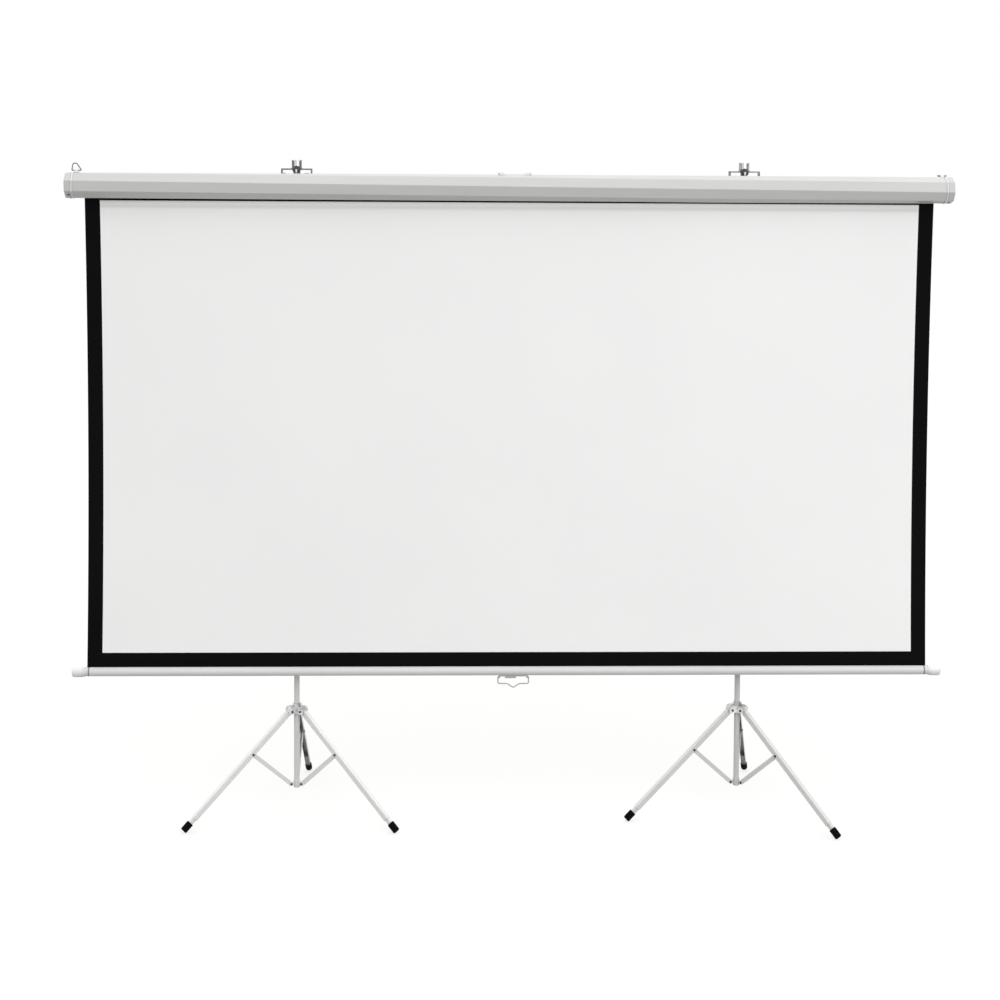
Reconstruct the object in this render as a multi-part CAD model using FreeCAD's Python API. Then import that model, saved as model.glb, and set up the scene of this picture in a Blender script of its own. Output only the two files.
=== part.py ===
"""Pull-down projection screen in an octagonal case, carried by two folding tripod stands.

Lengths are millimetres. X runs along the case, Y from front to back and Z up from the floor.
The stands' masts stand in the plane Y = 0 while the pieces are made. At the end every piece is
moved along Y by the same amount, so that the origin lies under the middle of the whole object.
"""
import FreeCAD, Part
import math
import os

Vec = FreeCAD.Vector
X_AXIS = Vec(1, 0, 0)
Y_AXIS = Vec(0, 1, 0)
Z_AXIS = Vec(0, 0, 1)
ORIGIN = Vec(0, 0, 0)
OCTAGON_STEP = math.radians(45)
HALF_FACET = math.radians(22.5)

# Clearances shared by the fits
tight_gap = 0.02
running_gap = 0.06
slide_gap = 0.1
seat_gap = 0.15
soft_gap = 0.3
same_place = 0.01

# Case: an octagonal tube with a corner towards the front
case_past_fabric = 22.5
case_radius = 36.0
case_wall = 1.0
case_height = 1725.0
mast_behind_case = 60.0
slot_width = 14.0
slot_behind_corner = 1.2
lip_radius = 1.8

# End caps
cap_length = 23.5
cap_ring_width = 5.7
cap_ring_radius = 37.6
cap_body_radius = 36.5
cap_bevel = 3.0
cap_wall = 3.0
cap_spigot_length = 12.0
cap_screw_radius = 1.6
cap_screw_head_radius = 3.2
cap_screw_head_height = 1.8
cap_screw_inset = 12.5
cap_screw_bite = 7.0

# Roller with its spring
roller_ahead_of_axis = 8.0
roller_radius = 16.0
roller_wall = 1.0
roller_end_gap = 14.0
roller_plug_length = 30.0
roller_plug_flange = 3.0
bracket_thickness = 11.0
shaft_radius = 4.0
shaft_length = 700.0
spring_outer_radius = 10.5
spring_inner_radius = 8.5
spring_length = 600.0
shaft_collar_width = 10.0
wrap_thickness = 1.0

# Screen fabric
fabric_width = 2294.0
fabric_thickness = 0.45
fabric_draw_in = 6.0
fabric_edge_steps = 24

# Bottom bar
bar_height = 405.5
bar_radius = 12.5
bar_wall = 1.5
bar_past_fabric = 6.5
bar_slot = 3.0
hem_rod_radius = 4.0
bar_cap_length = 34.0
bar_cap_radius = 15.0
bar_cap_round = 7.0
bar_cap_ring = 4.0
bar_cap_ring_radius = 14.0
bar_cap_groove = 1.5
bar_cap_groove_radius = 13.0
bar_cap_spigot = 12.0

# Pull handle under the bar
pull_from_middle = 11.0
pull_width = 87.0
pull_drop = 18.5
pull_dip = 11.0
pull_dip_half = 17.0
pull_wire_radius = 1.6
pull_bend = 4.5
pull_dip_bend = 5.0
pull_pin_bend = 2.2
pull_pivot_drop = 4.5
clip_depth = 13.0
clip_thickness = 1.8
clip_ear_width = 4.0
clip_ear_radius = 3.6
clip_lobe_left = -23.0
clip_lobe_right = 7.0
clip_lobe_drop = 6.5

# Hanger rings at the case ends and the folded carry handle at its middle
ring_from_seam = 5.0
ring_eye_width = 10.0
ring_half_foot = 13.0
ring_half_top = 5.0
ring_lean = 5.0
ring_reach = 19.0
ring_bend = 5.0
ring_pin_bend = 1.9
ring_wire_radius = 1.5
carry_from_middle = 6.0
carry_eye_x = 34.0
carry_eye_width = 12.0
carry_half_width = 43.0
carry_reach = 27.0
carry_bend = 7.0
carry_pin_bend = 2.6
carry_wire_radius = 2.0
eye_depth = 11.0
eye_rise = 3.6
fold_back_angle = 97.0

# Hook brackets that hang the case on the masts
mast_left_x = -584.0
mast_right_x = 636.0
hook_half_width = 42.0
hook_strip = 4.0
hook_depth = 14.0
hook_arm_rise = 13.0
hook_top_rise = 36.0
hook_half_hump = 13.0
hook_bend = 4.0
hook_foot_overlap = 11.0
hook_foot_lean = 6.0
hook_foot_below_top = 1.0
hook_socket_radius = 9.6
hook_socket_drop = 26.0
hook_socket_below_top = 2.0
hook_tab_width = 14.0
hook_tab_length = 15.0
hook_tab_thickness = 2.5
hook_screw_radius = 2.0
hook_screw_head_radius = 4.0
hook_screw_head_height = 2.4
hook_screw_bite = 5.0
dome_radius = 11.0
dome_length = 9.0
dome_round = 7.0
dome_shank_radius = 3.0
dome_rise = 9.5

# Posts and masts
post_radius = 7.75
post_wall = 1.25
post_top = 1000.0
mast_wall = 1.0
mast_bottom = 620.0
collar_radius = 13.5
collar_height = 30.0
collar_above_post = 12.0
boss_radius = 7.0
boss_length = 10.0
knob_radius = 17.0
knob_thickness = 13.0
knob_scallops = 6
knob_scallop_radius = 6.0
knob_neck = 2.0
knob_shank_radius = 3.0

# Tripod linkage: hub, spider, legs and braces
left_stand_turn = -1.0
right_stand_turn = -14.0
rear_leg_angle = 90.0
leg_step_angle = 120.0
leg_spread = 48.0
pivot_radius = 18.0
link_length = 152.0
leg_length = 416.0
leg_width = 13.6
leg_inner_edge = 4.0
leg_outer_edge = 9.0
leg_wall = 1.2
leg_top = 6.0
leg_top_round = 4.5
leg_insert_show = 14.0
leg_insert_hold = 50.0
leg_insert_half_width = 5.2
leg_insert_half_depth = 5.0
rivet_radius = 2.0
rivet_head_radius = 3.2
rivet_head_height = 1.1
brace_width = 8.2
brace_half_depth = 5.5
brace_wall = 1.2
foot_length = 27.0
foot_radius = 9.5
foot_round = 3.5
foot_flat_depth = 1.5
foot_end_wall = 5.0
hub_ear_wall = 3.6
hub_ear_gap = 0.4
hub_lobe_reach = 29.0
hub_lobe_below = 7.0
hub_lobe_above = 16.5
hub_nose_height = 7.5
hub_nose_undercut = 2.0
hub_nose_slope = 5.0
hub_slot_above = 12.5
hub_leg_gap = 1.2
hub_sleeve_radius = 11.3
hub_core_radius = 13.0
hub_cone_height = 5.0
hub_cone_radius = 10.0
spider_radius = 9.4
spider_above = 8.0
spider_socket_below = 6.0
spider_floor = 6.0
spider_round = 4.0
spider_lug_radius = 3.4

# Places worked out from the sizes above
case_y = -mast_behind_case
case_half = fabric_width / 2 + case_past_fabric
case_end = case_half + cap_length
ring_eye_x = case_half - ring_from_seam
case_top = case_height + case_radius
inner_radius = case_radius - case_wall / math.cos(HALF_FACET)
roller_y = case_y - roller_ahead_of_axis
wrap_radius = roller_radius + slide_gap + wrap_thickness
fabric_front = roller_y + wrap_radius + soft_gap
bar_y = fabric_front + fabric_thickness / 2
bar_half = fabric_width / 2 + bar_past_fabric
bar_bottom = bar_height - bar_radius
hem_rod_height = bar_height + bar_radius - bar_wall - soft_gap - hem_rod_radius
fabric_bottom = hem_rod_height + hem_rod_radius + soft_gap
pull_pivot_height = bar_bottom - pull_pivot_drop
eye_pivot_height = case_top + eye_rise
mast_radius = post_radius - post_wall - slide_gap
spread = math.radians(leg_spread)
foot_axis_offset = (leg_outer_edge - leg_inner_edge) / 2
hub_height = (leg_length * math.cos(spread) + (foot_radius - foot_axis_offset) * math.sin(spread)
              - foot_flat_depth)
spider_height = hub_height - 2 * link_length * math.cos(spread)
leg_azimuths = {"rear": rear_leg_angle, "right": rear_leg_angle - leg_step_angle,
                "left": rear_leg_angle + leg_step_angle}
stand_x = {"left": mast_left_x, "right": mast_right_x}
stand_turn = {"left": left_stand_turn, "right": right_stand_turn}


def block(x0, x1, y0, y1, z0, z1):
    """Box between two corners."""
    return Part.makeBox(x1 - x0, y1 - y0, z1 - z0, Vec(x0, y0, z0))


def rod(start, end, radius):
    """Solid round rod between two points."""
    along = end - start
    return Part.makeCylinder(radius, along.Length, start, along)


def pipe(start, end, outer, inner):
    """Round tube between two points."""
    return rod(start, end, outer).cut(rod(start, end, inner))


def octagon(radius, x):
    """Closed octagon across the case axis, with corners at the front, top, back and bottom."""
    corners = [Vec(x, case_y + radius * math.cos(k * OCTAGON_STEP),
                   case_height + radius * math.sin(k * OCTAGON_STEP)) for k in range(8)]
    return Part.makePolygon(corners + corners[:1])


def octagon_bar(radius, x0, x1):
    """Solid octagonal bar along the case axis."""
    return Part.Face(octagon(radius, x0)).extrude(Vec(x1 - x0, 0, 0))


def plate(points, along):
    """Flat outline given by its corners, thickened along a vector."""
    return Part.Face(Part.makePolygon(points + points[:1])).extrude(along)


def fused(shapes):
    """One solid made of several that meet."""
    return shapes[0].multiFuse(shapes[1:]).removeSplitter()


def rounded(shape, radius, chosen):
    """Fillet of the edges whose middle point is chosen."""
    edges = [edge for edge in shape.Edges if chosen(edge.CenterOfMass)]
    return shape.makeFillet(radius, edges)


def bent_rod(points, radius, bends):
    """Round wire through the points, with an arc of its own bend radius at each inner point."""
    edges = []
    start = points[0]
    for before, corner, after, bend in zip(points, points[1:], points[2:], bends):
        back = (before - corner).normalize()
        ahead = (after - corner).normalize()
        half_turn = back.getAngle(ahead) / 2
        middle = (back + ahead).normalize()
        tangent = bend / math.tan(half_turn)
        crown = corner + middle * (bend / math.sin(half_turn) - bend)
        edges.append(Part.LineSegment(start, corner + back * tangent).toShape())
        edges.append(Part.Arc(corner + back * tangent, crown, corner + ahead * tangent).toShape())
        start = corner + ahead * tangent
    edges.append(Part.LineSegment(start, points[-1]).toShape())
    section = Part.Wire([Part.Circle(points[0], points[1] - points[0], radius).toShape()])
    return Part.Wire(edges).makePipeShell([section], True, False)


def on_case_facet(shape, x, side, level):
    """Place a shape, made round the origin with Z outwards, on the middle of a sloping case facet.

    side is -1 for the front and 1 for the back, level is 1 for the facet beside the top corner and
    -1 for the one beside the bottom corner.
    """
    placed = shape.copy()
    tilt = -22.5 * side if level > 0 else 180 + 22.5 * side
    placed.rotate(ORIGIN, X_AXIS, tilt)
    reach = case_radius * math.cos(HALF_FACET)
    placed.translate(Vec(x, case_y + side * reach * math.sin(HALF_FACET),
                         case_height + level * reach * math.cos(HALF_FACET)))
    return placed


def hook_tab_places():
    """Case facet places of the hook brackets' screws: one inside each foot of each bracket."""
    inset = hook_half_width - hook_strip - hook_tab_width / 2
    return [x + side * inset for x in stand_x.values() for side in (-1, 1)]


def slot_lips(radius):
    """Rolled edges along the front and back of the slot that the fabric leaves the case through."""
    front = case_y + slot_behind_corner
    back = front + slot_width
    back_height = case_height - case_radius + (back - case_y) * math.tan(HALF_FACET)
    places = [(front - lip_radius / 2, case_height - case_radius + lip_radius / 2),
              (back + lip_radius / 2, back_height + lip_radius / 2)]
    return [rod(Vec(-case_half, y, z), Vec(case_half, y, z), radius) for y, z in places]


def case_shell():
    """Rolled octagonal shell with a slot behind its bottom corner."""
    shell = octagon_bar(case_radius, -case_half, case_half)
    shell = shell.cut(octagon_bar(inner_radius, -case_half, case_half))
    slot_front = case_y + slot_behind_corner
    shell = shell.cut(block(-case_half, case_half, slot_front, slot_front + slot_width,
                            case_height - 2 * case_radius, case_height - inner_radius / 2))
    shell = shell.multiFuse(slot_lips(lip_radius))
    for x in hook_tab_places():
        hole = rod(Vec(0, 0, -hook_screw_bite), Vec(0, 0, hook_screw_bite),
                   hook_screw_radius + running_gap)
        shell = shell.cut(on_case_facet(hole, x, 1, 1))
    return shell.removeSplitter()


def cap_screw(side, back):
    """One screw through a cap's lower slanting facet into the roller bracket behind it."""
    proud = cap_body_radius - case_radius
    head = rod(Vec(0, 0, proud), Vec(0, 0, proud + cap_screw_head_height), cap_screw_head_radius)
    shank = rod(Vec(0, 0, -cap_screw_bite), Vec(0, 0, proud), cap_screw_radius)
    return on_case_facet(fused([head, shank]), side * (case_half + cap_screw_inset), back, -1)


def cap_screw_hole(side, back):
    hole = rod(Vec(0, 0, -cap_screw_bite), Vec(0, 0, cap_ring_radius - case_radius),
               cap_screw_radius + running_gap)
    return on_case_facet(hole, side * (case_half + cap_screw_inset), back, -1)


def end_cap(side):
    """Moulded octagonal cap with a proud ring at the seam and a spigot inside the shell."""
    seam = side * case_half
    ring_end = side * (case_half + cap_ring_width)
    bevel_start = side * (case_end - cap_bevel)
    ring = octagon_bar(cap_ring_radius, seam, ring_end)
    body = octagon_bar(cap_body_radius, ring_end, bevel_start)
    bevel = Part.makeLoft([octagon(cap_body_radius, bevel_start),
                           octagon(cap_body_radius - cap_bevel, side * case_end)], True, True)
    spigot_end = side * (case_half - cap_spigot_length)
    spigot_radius = inner_radius - seat_gap
    spigot = octagon_bar(spigot_radius, spigot_end, seam)
    cap = fused([ring, body, bevel, spigot])
    cap = cap.cut(octagon_bar(spigot_radius - cap_wall, spigot_end, seam))
    cap = cap.cut(octagon_bar(cap_body_radius - cap_wall, seam, side * (case_end - cap_wall)))
    cap = cap.cut(slot_lips(lip_radius + seat_gap))
    for back in (-1, 1):
        cap = cap.cut(cap_screw_hole(side, back))
    return cap


def roller_bracket(side):
    """Moulded plate inside a cap that carries one end of the roller."""
    outside = side * (case_end - cap_wall)
    inside = outside - side * bracket_thickness
    carrier = octagon_bar(cap_body_radius - cap_wall - seat_gap, inside, outside)
    bore = rod(Vec(inside, roller_y, case_height), Vec(outside, roller_y, case_height),
               shaft_radius + running_gap)
    carrier = carrier.cut(bore)
    for back in (-1, 1):
        carrier = carrier.cut(cap_screw_hole(side, back))
    return carrier


def roller_point(x):
    return Vec(x, roller_y, case_height)


def roller_half():
    return case_half - roller_end_gap


def spring_shaft():
    """Fixed shaft of the spring, held in the left bracket, with a collar that anchors the spring."""
    start = -(case_end - cap_wall)
    collar = spring_end_x()
    shaft = rod(roller_point(start), roller_point(start + shaft_length), shaft_radius)
    ring = rod(roller_point(collar), roller_point(collar + shaft_collar_width), spring_outer_radius)
    return fused([shaft, ring])


def spring_end_x():
    return -roller_half() + roller_plug_length + soft_gap + spring_length


def torsion_spring():
    end = spring_end_x()
    return pipe(roller_point(end - spring_length), roller_point(end), spring_outer_radius,
                spring_inner_radius)


def roller_tube():
    return pipe(roller_point(-roller_half()), roller_point(roller_half()), roller_radius,
                roller_radius - roller_wall)


def roller_plug(side):
    """End plug of the roller: the left one turns on the shaft, the right one on its own stub."""
    end = side * roller_half()
    body = rod(roller_point(end), roller_point(end - side * roller_plug_length),
               roller_radius - roller_wall - slide_gap)
    flange = rod(roller_point(end), roller_point(end + side * roller_plug_flange), roller_radius)
    if side < 0:
        bore = rod(roller_point(end - roller_plug_flange), roller_point(end + roller_plug_length),
                   shaft_radius + running_gap)
        return fused([body, flange]).cut(bore)
    stub = rod(roller_point(end), roller_point(case_end - cap_wall - soft_gap), shaft_radius)
    return fused([body, flange, stub])


def fabric_wraps():
    """Turns of fabric that stay on the roller when the screen is down."""
    half = fabric_width / 2
    return pipe(roller_point(-half), roller_point(half), wrap_radius, roller_radius + slide_gap)


def screen_fabric():
    """Flat taut sheet whose free side edges draw in, as a parabola, between the roller and the bar."""
    middle = (case_height + fabric_bottom) / 2
    half_drop = (case_height - fabric_bottom) / 2
    levels = [1 - 2 * k / fabric_edge_steps for k in range(fabric_edge_steps + 1)]
    edge = [(fabric_width / 2 - fabric_draw_in * (1 - t * t), middle + t * half_drop) for t in levels]
    right = [Vec(x, fabric_front, z) for x, z in edge]
    left = [Vec(-x, fabric_front, z) for x, z in reversed(edge)]
    return plate(right + left, Vec(0, fabric_thickness, 0))


def bar_point(x):
    return Vec(x, bar_y, bar_height)


def bottom_bar():
    tube = pipe(bar_point(-bar_half), bar_point(bar_half), bar_radius, bar_radius - bar_wall)
    return tube.cut(block(-bar_half, bar_half, bar_y - bar_slot / 2, bar_y + bar_slot / 2,
                          bar_height, bar_height + 2 * bar_radius))


def hem_rod():
    """Rod in the fabric's hem, too thick to leave the bar through its slot."""
    half = bar_half - bar_cap_spigot - soft_gap
    return rod(Vec(-half, bar_y, hem_rod_height), Vec(half, bar_y, hem_rod_height), hem_rod_radius)


def bar_cap(side):
    """Plug with a ring, a groove and a domed end."""
    seam = bar_half
    steps = [(seam - bar_cap_spigot, seam, bar_radius - bar_wall - slide_gap),
             (seam, seam + bar_cap_ring, bar_cap_ring_radius),
             (seam + bar_cap_ring, seam + bar_cap_ring + bar_cap_groove, bar_cap_groove_radius),
             (seam + bar_cap_ring + bar_cap_groove, seam + bar_cap_length, bar_cap_radius)]
    cap = fused([rod(bar_point(side * a), bar_point(side * b), r) for a, b, r in steps])
    end = side * (seam + bar_cap_length)
    return rounded(cap, bar_cap_round, lambda middle: abs(middle.x - end) < same_place)


def pull_ear_outside():
    return pull_width / 2 - 2 * pull_wire_radius - soft_gap


def handle_clip():
    """Clip riveted under the bar: a base strip with two ears, and a pressed lobe beside the middle."""
    half = pull_ear_outside()
    base = block(-half, half, bar_y - clip_depth / 2, bar_y + clip_depth / 2,
                 bar_bottom - clip_thickness, bar_height - bar_radius / 2)
    lobe = block(clip_lobe_left, clip_lobe_right, bar_y - clip_depth / 2, bar_y + clip_depth / 2,
                 bar_bottom - clip_lobe_drop, bar_height - bar_radius / 2)
    pieces = [base, lobe]
    for side in (-1, 1):
        outside = side * half
        inside = outside - side * clip_ear_width
        pieces.append(rod(Vec(inside, bar_y, pull_pivot_height), Vec(outside, bar_y, pull_pivot_height),
                          clip_ear_radius))
        pieces.append(block(min(inside, outside), max(inside, outside), bar_y - clip_ear_radius,
                            bar_y + clip_ear_radius, pull_pivot_height, bar_bottom))
    clip = fused(pieces).cut(rod(bar_point(-pull_width), bar_point(pull_width), bar_radius))
    clip = clip.cut(rod(Vec(-half, bar_y, pull_pivot_height), Vec(half, bar_y, pull_pivot_height),
                        pull_wire_radius + running_gap))
    clip.translate(Vec(pull_from_middle, 0, 0))
    return clip


def pull_handle():
    """Wire bail with a shallow V in the middle of its grip."""
    half = pull_width / 2 - pull_wire_radius
    pin = pull_ear_outside() - clip_ear_width
    grip = pull_pivot_height - pull_drop
    outline = [(-pin, pull_pivot_height), (-half, pull_pivot_height), (-half, grip),
               (-pull_dip_half, grip), (0, grip - pull_dip), (pull_dip_half, grip),
               (half, grip), (half, pull_pivot_height), (pin, pull_pivot_height)]
    bends = [pull_pin_bend, pull_bend, pull_dip_bend, pull_dip_bend, pull_dip_bend, pull_bend, pull_pin_bend]
    return bent_rod([Vec(pull_from_middle + x, bar_y, z) for x, z in outline], pull_wire_radius, bends)


def bail_eye(x, width, wire_radius):
    """Block seated on the case's top corner, bored along X for a bail's ends."""
    body = block(x - width / 2, x + width / 2, case_y - eye_depth / 2, case_y + eye_depth / 2,
                 case_height, eye_pivot_height)
    crown = rod(Vec(x - width / 2, case_y, eye_pivot_height), Vec(x + width / 2, case_y, eye_pivot_height),
                eye_depth / 2 - wire_radius)
    eye = fused([body, crown])
    eye = eye.cut(octagon_bar(cap_ring_radius, case_half - seat_gap, case_end))
    eye = eye.cut(octagon_bar(cap_ring_radius, -case_end, -case_half + seat_gap))
    eye = eye.cut(octagon_bar(case_radius, -case_end, case_end))
    bore = rod(Vec(x - width, case_y, eye_pivot_height), Vec(x + width, case_y, eye_pivot_height),
               wire_radius + running_gap)
    return eye.cut(bore)


def bail(x, outline, wire_radius, pin_bend, bend, angle):
    """Wire bail, drawn upright over its pivot line and then folded back about that line."""
    points = [Vec(x + across, case_y, eye_pivot_height + up) for across, up in outline]
    wire = bent_rod(points, wire_radius, [pin_bend, bend, bend, pin_bend])
    wire.rotate(Vec(x, case_y, eye_pivot_height), X_AXIS, -angle)
    return wire


def hanger_ring(side, angle):
    """Wire ring whose crown leans towards its end of the case."""
    pin = ring_eye_width / 2 - 3 * ring_wire_radius
    lean = side * ring_lean
    outline = [(-pin, 0), (-ring_half_foot, 0), (lean - ring_half_top, ring_reach),
               (lean + ring_half_top, ring_reach), (ring_half_foot, 0), (pin, 0)]
    return bail(side * ring_eye_x, outline, ring_wire_radius, ring_pin_bend, ring_bend, angle)


def carry_handle():
    """Wire carry handle, folded back on the case."""
    pin = carry_eye_x - carry_eye_width / 4
    outline = [(-pin, 0), (-carry_half_width, 0), (-carry_half_width, carry_reach),
               (carry_half_width, carry_reach), (carry_half_width, 0), (pin, 0)]
    return bail(carry_from_middle, outline, carry_wire_radius, carry_pin_bend, carry_bend, fold_back_angle)


def hook_bracket(x):
    """Strip bent to a hat shape over the mast's socket, with feet that follow the back of the case."""
    arm = case_top + hook_arm_rise
    top = case_top + hook_top_rise
    front = -hook_depth / 2
    low = case_top - hook_foot_below_top
    pieces = [rod(Vec(x, 0, arm - hook_socket_drop), Vec(x, 0, top - hook_socket_below_top),
                  hook_socket_radius)]
    for side in (-1, 1):
        outline = [(hook_half_width, arm), (hook_half_hump, arm), (hook_half_hump, top),
                   (hook_half_hump - hook_strip, top), (hook_half_hump - hook_strip, arm - hook_strip),
                   (hook_half_width, arm - hook_strip)]
        strip = plate([Vec(x + side * across, front, z) for across, z in outline], Vec(0, hook_depth, 0))
        inner_corner = x + side * hook_half_hump
        strip = rounded(strip, hook_bend, lambda middle: abs(middle.x - inner_corner) < same_place
                        and abs(middle.z - arm) < same_place)
        pieces.append(strip)
        foot_x = x + side * hook_half_width
        toe = case_y + hook_foot_overlap
        foot = [(hook_depth / 2, arm), (front, arm), (front - hook_foot_lean, low), (toe, low),
                (toe, case_height), (front, case_height), (hook_depth / 2, low)]
        pieces.append(plate([Vec(foot_x, y, z) for y, z in foot], Vec(-side * hook_strip, 0, 0)))
        tab = block(-hook_tab_width / 2, hook_tab_width / 2, -hook_tab_length / 2, hook_tab_length / 2,
                    0, hook_tab_thickness)
        tab_x = foot_x - side * (hook_strip + hook_tab_width / 2)
        pieces.append(on_case_facet(tab, tab_x, 1, 1))
    bracket = fused(pieces).cut(octagon_bar(case_radius, -case_half, case_half))
    bracket = bracket.cut(rod(Vec(x, 0, 0), Vec(x, 0, top), mast_radius + slide_gap))
    for tab_x in hook_tab_places():
        hole = rod(ORIGIN, Vec(0, 0, 2 * hook_tab_thickness), hook_screw_radius + running_gap)
        bracket = bracket.cut(on_case_facet(hole, tab_x, 1, 1))
    return bracket.cut(dome_shank_hole(x))


def hook_screw(x):
    head = rod(Vec(0, 0, hook_tab_thickness), Vec(0, 0, hook_tab_thickness + hook_screw_head_height),
               hook_screw_head_radius)
    shank = rod(Vec(0, 0, -hook_screw_bite), Vec(0, 0, hook_tab_thickness), hook_screw_radius)
    return on_case_facet(fused([head, shank]), x, 1, 1)


def dome_height():
    return case_top + dome_rise


def dome_shank_hole(x):
    return rod(Vec(x, 0, dome_height()), Vec(x, -2 * hook_socket_radius, dome_height()),
               dome_shank_radius + running_gap)


def clamp_screw(x):
    """Dome-headed screw through the front of the socket, pressing on the mast."""
    seat = -hook_socket_radius - running_gap
    shank = rod(Vec(x, -mast_radius - slide_gap, dome_height()), Vec(x, seat, dome_height()),
                dome_shank_radius)
    head = rod(Vec(x, seat, dome_height()), Vec(x, seat - dome_length, dome_height()), dome_radius)
    head = rounded(head, dome_round, lambda middle: abs(middle.y - seat + dome_length) < same_place)
    return fused([shank, head])


def mast(x):
    """Inner tube of a stand, from inside the post up into the hook bracket's socket."""
    return pipe(Vec(x, 0, mast_bottom), Vec(x, 0, case_top + hook_top_rise), mast_radius,
                mast_radius - mast_wall)


def post(x):
    return pipe(Vec(x, 0, spider_height - spider_socket_below), Vec(x, 0, post_top), post_radius,
                post_radius - post_wall)


def collar(x):
    """Clamp collar on the post's top, with a boss for the clamp knob at the back."""
    bottom = post_top + collar_above_post - collar_height
    body = rod(Vec(x, 0, bottom), Vec(x, 0, post_top + collar_above_post), collar_radius)
    boss = rod(Vec(x, 0, knob_height()), Vec(x, collar_radius + boss_length, knob_height()), boss_radius)
    ring = fused([body, boss])
    ring = ring.cut(rod(Vec(x, 0, bottom), Vec(x, 0, post_top), post_radius + running_gap))
    ring = ring.cut(rod(Vec(x, 0, bottom), Vec(x, 0, post_top + collar_height), mast_radius + slide_gap))
    return ring.cut(rod(Vec(x, 0, knob_height()), Vec(x, 2 * collar_radius + boss_length, knob_height()),
                        knob_shank_radius + running_gap))


def knob_height():
    return post_top + collar_above_post / 2


def knob(x):
    """Scalloped clamp knob with its screw."""
    face = collar_radius + boss_length + knob_neck
    height = knob_height()
    head = rod(Vec(x, face, height), Vec(x, face + knob_thickness, height), knob_radius)
    for k in range(knob_scallops):
        turn = 2 * math.pi * k / knob_scallops
        reach = knob_radius + knob_scallop_radius / 2
        centre = Vec(x + reach * math.cos(turn), face, height + reach * math.sin(turn))
        head = head.cut(rod(centre, centre + Vec(0, knob_thickness, 0), knob_scallop_radius))
    shank = rod(Vec(x, mast_radius + soft_gap, height), Vec(x, face, height), knob_shank_radius)
    return fused([head, shank])


def round_stand(shape, azimuth, x):
    """Turn a piece made along +X from the post axis to its azimuth, and place it on its stand."""
    placed = shape.copy()
    placed.rotate(ORIGIN, Z_AXIS, azimuth)
    placed.translate(Vec(x, 0, 0))
    return placed


def cross_rod(radial, z, half_length, radius):
    """Rod across a link, with its middle at a radius and a height."""
    return rod(Vec(radial, -half_length, z), Vec(radial, half_length, z), radius)


def hub(x):
    """Casting that slides on the post, with a forked lobe for the top of each leg."""
    half = leg_width / 2 + hub_ear_gap + hub_ear_wall
    lobe_side = [(0, -hub_lobe_below), (hub_lobe_reach - hub_nose_undercut, -hub_lobe_below),
                 (hub_lobe_reach, 0), (hub_lobe_reach, hub_nose_height),
                 (hub_lobe_reach - hub_nose_slope, hub_nose_height + hub_nose_slope),
                 (pivot_radius, hub_lobe_above), (0, hub_lobe_above)]
    roof = leg_outer_edge + hub_leg_gap
    roof_start = (roof * math.sin(spread) - hub_slot_above) / math.cos(spread)
    roof_line = [(pivot_radius + along * math.sin(spread) + roof * math.cos(spread),
                  roof * math.sin(spread) - along * math.cos(spread))
                 for along in (roof_start, 2 * hub_lobe_reach)]
    slot_side = [(hub_sleeve_radius, roof_line[1][1]), (hub_sleeve_radius, hub_slot_above)] + roof_line
    lobe = plate([Vec(r, -half, z) for r, z in lobe_side], Vec(0, 2 * half, 0))
    lobe = lobe.common(rod(Vec(0, 0, 0), Vec(2 * hub_lobe_reach, 0, 0), hub_lobe_above))
    half_slot = leg_width / 2 + hub_ear_gap
    slot = plate([Vec(r, -half_slot, z) for r, z in slot_side], Vec(0, 2 * half_slot, 0))
    pin_hole = cross_rod(pivot_radius, 0, 2 * half, rivet_radius + tight_gap)
    core = rod(Vec(0, 0, -hub_lobe_below), Vec(0, 0, hub_lobe_above), hub_core_radius)
    cone = Part.makeCone(hub_core_radius, hub_cone_radius, hub_cone_height, Vec(0, 0, hub_lobe_above))
    lobes = [round_stand(lobe, azimuth, 0) for azimuth in leg_azimuths.values()]
    casting = fused([core, cone] + lobes)
    for azimuth in leg_azimuths.values():
        casting = casting.cut(round_stand(slot, azimuth, 0)).cut(round_stand(pin_hole, azimuth, 0))
    casting = casting.cut(rod(Vec(0, 0, -2 * hub_lobe_below), Vec(0, 0, 2 * hub_lobe_above),
                              post_radius + slide_gap))
    casting.translate(Vec(x, 0, hub_height))
    return casting


def rivet(half_length, radial, z):
    """Rivet across a joint, with a head on each side."""
    pieces = [cross_rod(radial, z, half_length, rivet_radius)]
    for side in (-1, 1):
        start = Vec(radial, side * half_length, z)
        pieces.append(rod(start, start + Vec(0, side * rivet_head_height, 0), rivet_head_radius))
    return fused(pieces)


def hub_pins(x):
    half = leg_width / 2 + hub_ear_gap + hub_ear_wall + running_gap
    return Part.makeCompound([round_stand(rivet(half, pivot_radius, hub_height), azimuth, x)
                              for azimuth in leg_azimuths.values()])


def spider(x):
    """Socket under the post with a tongue for the foot of each brace."""
    bottom = spider_height - spider_socket_below - spider_floor
    cup = rod(Vec(0, 0, bottom), Vec(0, 0, spider_height + spider_above), spider_radius)
    cup = rounded(cup, spider_round, lambda middle: abs(middle.z - bottom) < same_place)
    half = tongue_half_width()
    tongue = fused([cross_rod(pivot_radius, spider_height, half, spider_lug_radius),
                    block(0, pivot_radius, -half, half, spider_height - spider_lug_radius,
                          spider_height + spider_lug_radius)])
    tongue = tongue.cut(cross_rod(pivot_radius, spider_height, 2 * half, rivet_radius + tight_gap))
    casting = fused([cup] + [round_stand(tongue, azimuth, 0) for azimuth in leg_azimuths.values()])
    casting = casting.cut(rod(Vec(0, 0, spider_height - spider_socket_below),
                              Vec(0, 0, spider_height + 2 * spider_above), post_radius + running_gap))
    casting.translate(Vec(x, 0, 0))
    return casting


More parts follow.
